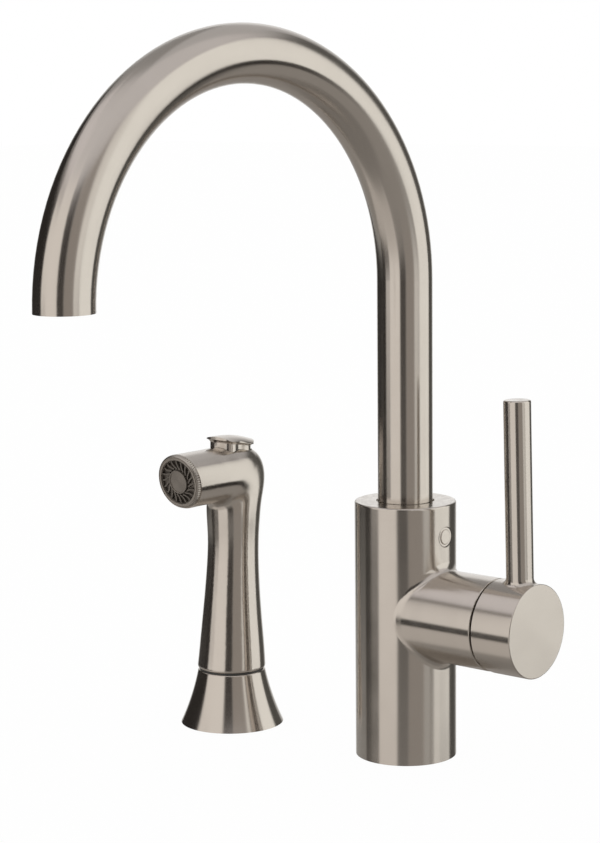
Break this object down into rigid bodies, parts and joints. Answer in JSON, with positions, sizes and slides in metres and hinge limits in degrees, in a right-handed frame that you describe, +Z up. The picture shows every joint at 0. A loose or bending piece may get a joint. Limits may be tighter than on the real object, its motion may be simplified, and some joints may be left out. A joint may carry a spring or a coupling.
{
  "type": "side spray kitchen faucet",
  "caption": "Single-lever kitchen faucet with a swivelling high-arc spout, a sideways valve hub with an upright lever, and a separate hand spray in a flared deck holder.",
  "frame": {"origin": "centre of the faucet body's foot on the deck", "axes": "+Z up; +X along the valve hub towards the lever; -Y towards the user and the sink, where the spout points; the side spray stands at -X"},
  "size_m": [0.2006, 0.2391, 0.3367],
  "materials": {
    "nickel_body": "warm brushed nickel, brushed round the body and along the hub",
    "nickel_spout": "warm brushed nickel on a bent tube",
    "nickel_lever": "warm brushed nickel, brushed round the cap and the rod",
    "nickel_holder": "warm brushed nickel, brushed round the flare",
    "nickel_spray": "satin nickel coating",
    "nickel_trigger": "satin nickel coating",
    "nickel_trim": "brushed nickel trim",
    "bezel_metal": "satin nickel, knurled edge",
    "nozzle_plate": "dark grey moulded spray plate",
    "nozzle_disc": "grey disc with a bright rim",
    "turned_brass": "turned, unplated",
    "black_rubber": "moulded",
    "white_acetal": "moulded",
    "dark_plastic": "moulded",
    "grey_ceramic": "lapped alumina, stated as a hard gloss material",
    "plain_steel": "stainless steel"
  },
  "bodies": {
    "faucet_body": {"body_shell": "nickel_body", "base_gasket": "black_rubber", "spout_bearing_sleeve": "white_acetal", "spout_retaining_screw": "plain_steel", "side_plug": "nickel_trim", "valve_port_seals": "black_rubber", "valve_base_plate": "white_acetal", "fixed_disc": "grey_ceramic", "valve_case": "white_acetal", "valve_nut": "turned_brass", "valve_cover_ring": "nickel_trim", "diverter_sleeve": "white_acetal", "diverter_o_ring": "black_rubber", "diverter_spring": "plain_steel", "spray_holder": "nickel_holder", "holder_gasket": "black_rubber", "holder_bush": "dark_plastic"},
    "spout": {"spout_tube": "nickel_spout", "spout_stem": "turned_brass", "spout_foot_ring": "white_acetal", "spout_o_rings": "black_rubber", "aerator_housing": "bezel_metal", "aerator_screen": "dark_plastic", "aerator_washer": "black_rubber"},
    "valve_turret": {"turret": "white_acetal", "stem_pin": "plain_steel"},
    "valve_disc": {"moving_disc": "grey_ceramic", "disc_carrier": "white_acetal"},
    "lever": {"valve_stem": "plain_steel", "lever_rod": "nickel_lever", "lever_cap": "nickel_lever", "lever_set_screw": "plain_steel", "lever_plug": "nickel_trim"},
    "diverter": {"diverter_spool": "white_acetal"},
    "hose_end": {"hose_connector": "turned_brass", "connector_clip": "white_acetal", "connector_o_ring": "black_rubber"},
    "sprayer": {"spray_body": "nickel_spray", "handle_adapter": "white_acetal", "waterway_tube": "white_acetal", "spray_valve_housing": "white_acetal", "spray_spring": "plain_steel", "trigger_gland": "white_acetal", "nozzle_bezel": "bezel_metal", "spray_plate": "nozzle_plate", "spray_centre_disc": "nozzle_disc", "nozzle_seal": "black_rubber"},
    "trigger": {"spray_poppet": "white_acetal", "poppet_seal": "black_rubber", "trigger_stem": "plain_steel", "trigger_button": "nickel_trigger"}
  },
  "joints": [
    {"name": "spout_swivel", "type": "hinge", "parent": "faucet_body", "child": "spout", "pos_m": [0, 0, 0.1], "axis": [0, 0, 1], "range_deg": [-70, 70]},
    {"name": "lever_turn", "type": "hinge", "parent": "faucet_body", "child": "valve_turret", "pos_m": [0.0395, 0, 0.0686], "axis": [1, 0, 0], "range_deg": [-45, 45]},
    {"name": "lever_lift", "type": "hinge", "parent": "valve_turret", "child": "lever", "pos_m": [0.0395, 0, 0.0686], "axis": [0, 1, 0], "range_deg": [0, 20]},
    {"name": "disc_slide", "type": "slide", "parent": "valve_turret", "child": "valve_disc", "axis": [0, 0, 1], "range_m": [0, 0.0037]},
    {"name": "diverter_slide", "type": "slide", "parent": "faucet_body", "child": "diverter", "axis": [0, 0, -1], "range_m": [0, 0.0025], "stiffness_N_per_m": 150, "springref_m": -0.002, "deforming": ["diverter_spring"]},
    {"name": "spray_lift", "type": "slide", "parent": "faucet_body", "child": "hose_end", "axis": [0, 0, 1], "range_m": [0, 0.12]},
    {"name": "spray_swivel", "type": "hinge", "parent": "hose_end", "child": "sprayer", "pos_m": [-0.1011, -0.0102, 0.04], "axis": [0, 0, 1], "continuous": true},
    {"name": "trigger_press", "type": "slide", "parent": "sprayer", "child": "trigger", "axis": [0, 0, -1], "range_m": [0, 0.0018], "stiffness_N_per_m": 700, "springref_m": -0.002, "deforming": ["spray_spring"]}
  ],
  "couplings": [
    {"joint": "disc_slide", "follows": "lever_lift", "m_per_rad": 0.0105}
  ]
}
